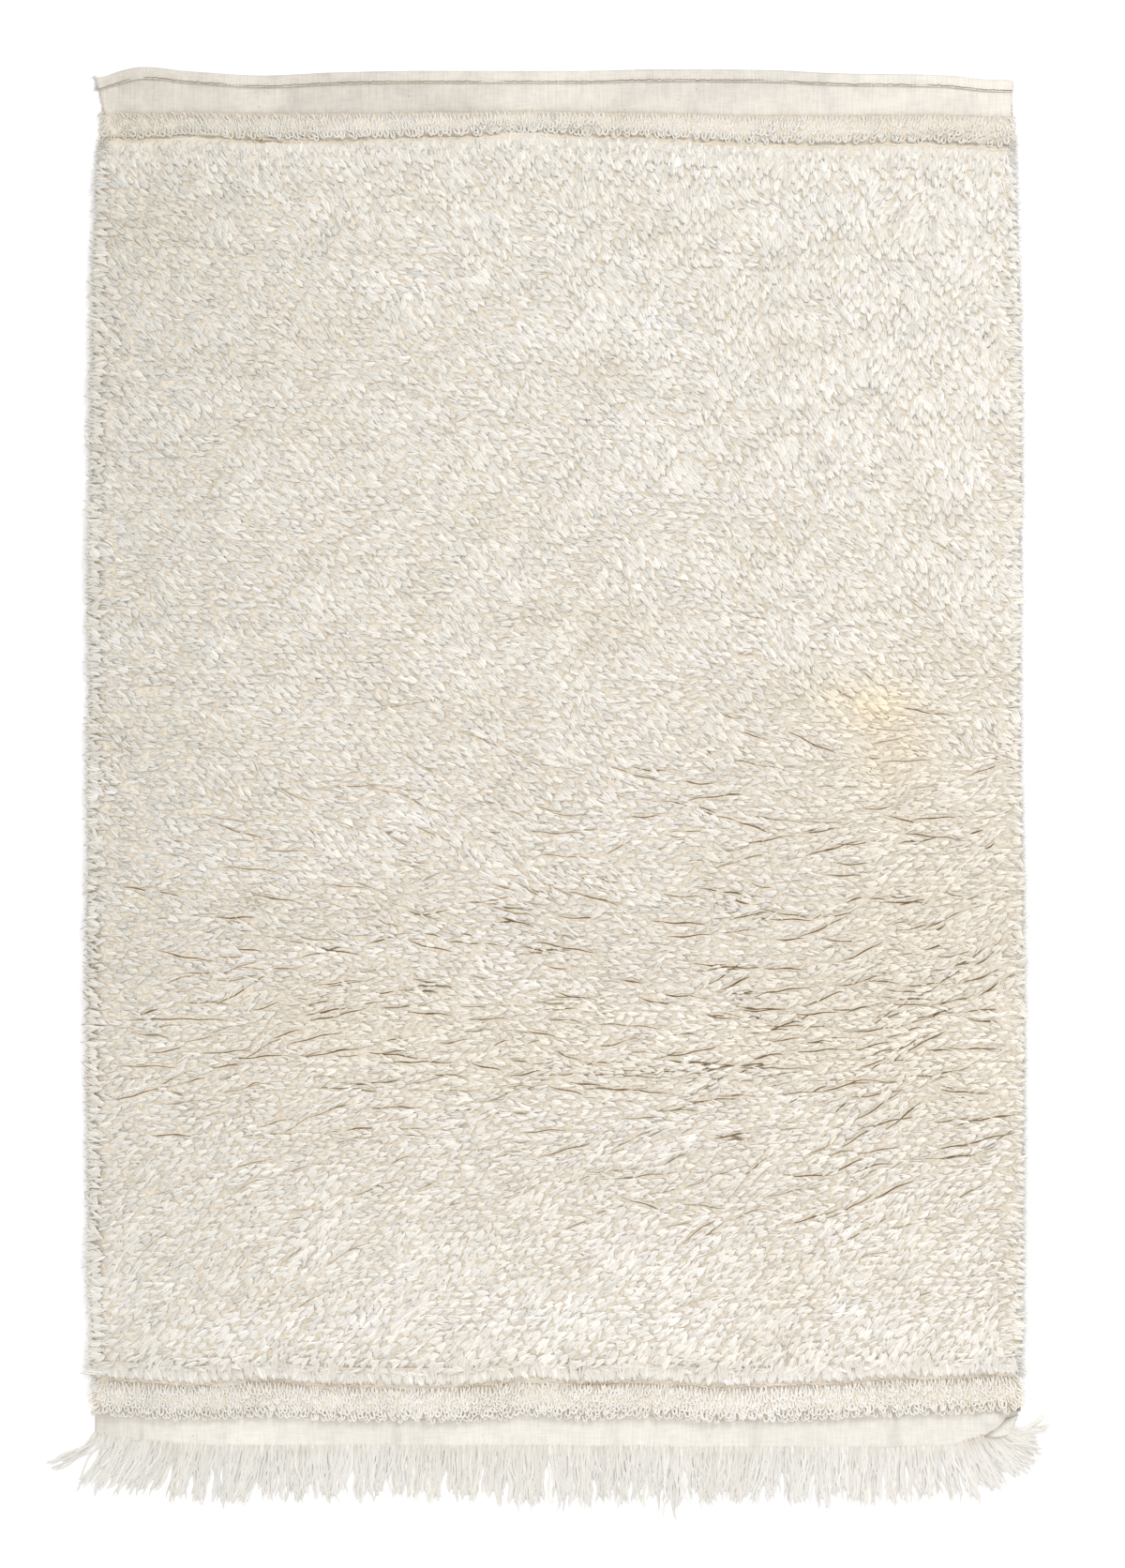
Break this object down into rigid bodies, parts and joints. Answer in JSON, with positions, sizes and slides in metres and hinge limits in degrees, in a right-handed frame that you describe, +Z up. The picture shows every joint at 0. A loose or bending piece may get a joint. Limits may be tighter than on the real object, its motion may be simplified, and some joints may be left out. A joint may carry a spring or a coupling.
{
  "type": "tulu rug",
  "caption": "Cream shag rug lying flat: a woven wool cloth with a turned hem at the head, looped pile in a field and end bands, and a combed warp fringe at the foot.",
  "frame": {"origin": "middle of the rug's box on the floor, fringe included", "axes": "+X across the rug, towards its right selvedge as seen from above with the hem at the top; +Y along it, from the fringed foot towards the hemmed head; +Z up from the floor through the pile"},
  "size_m": [1.3388, 1.9452, 0.0238],
  "materials": {
    "wool_pile": "matt undyed cream wool, looped shag pile knotted into a plain woven ground",
    "warp_fringe": "matt ivory twisted warp yarn"
  },
  "bodies": {
    "root": {"rug": "wool_pile", "fringe": "warp_fringe"}
  },
  "joints": []
}
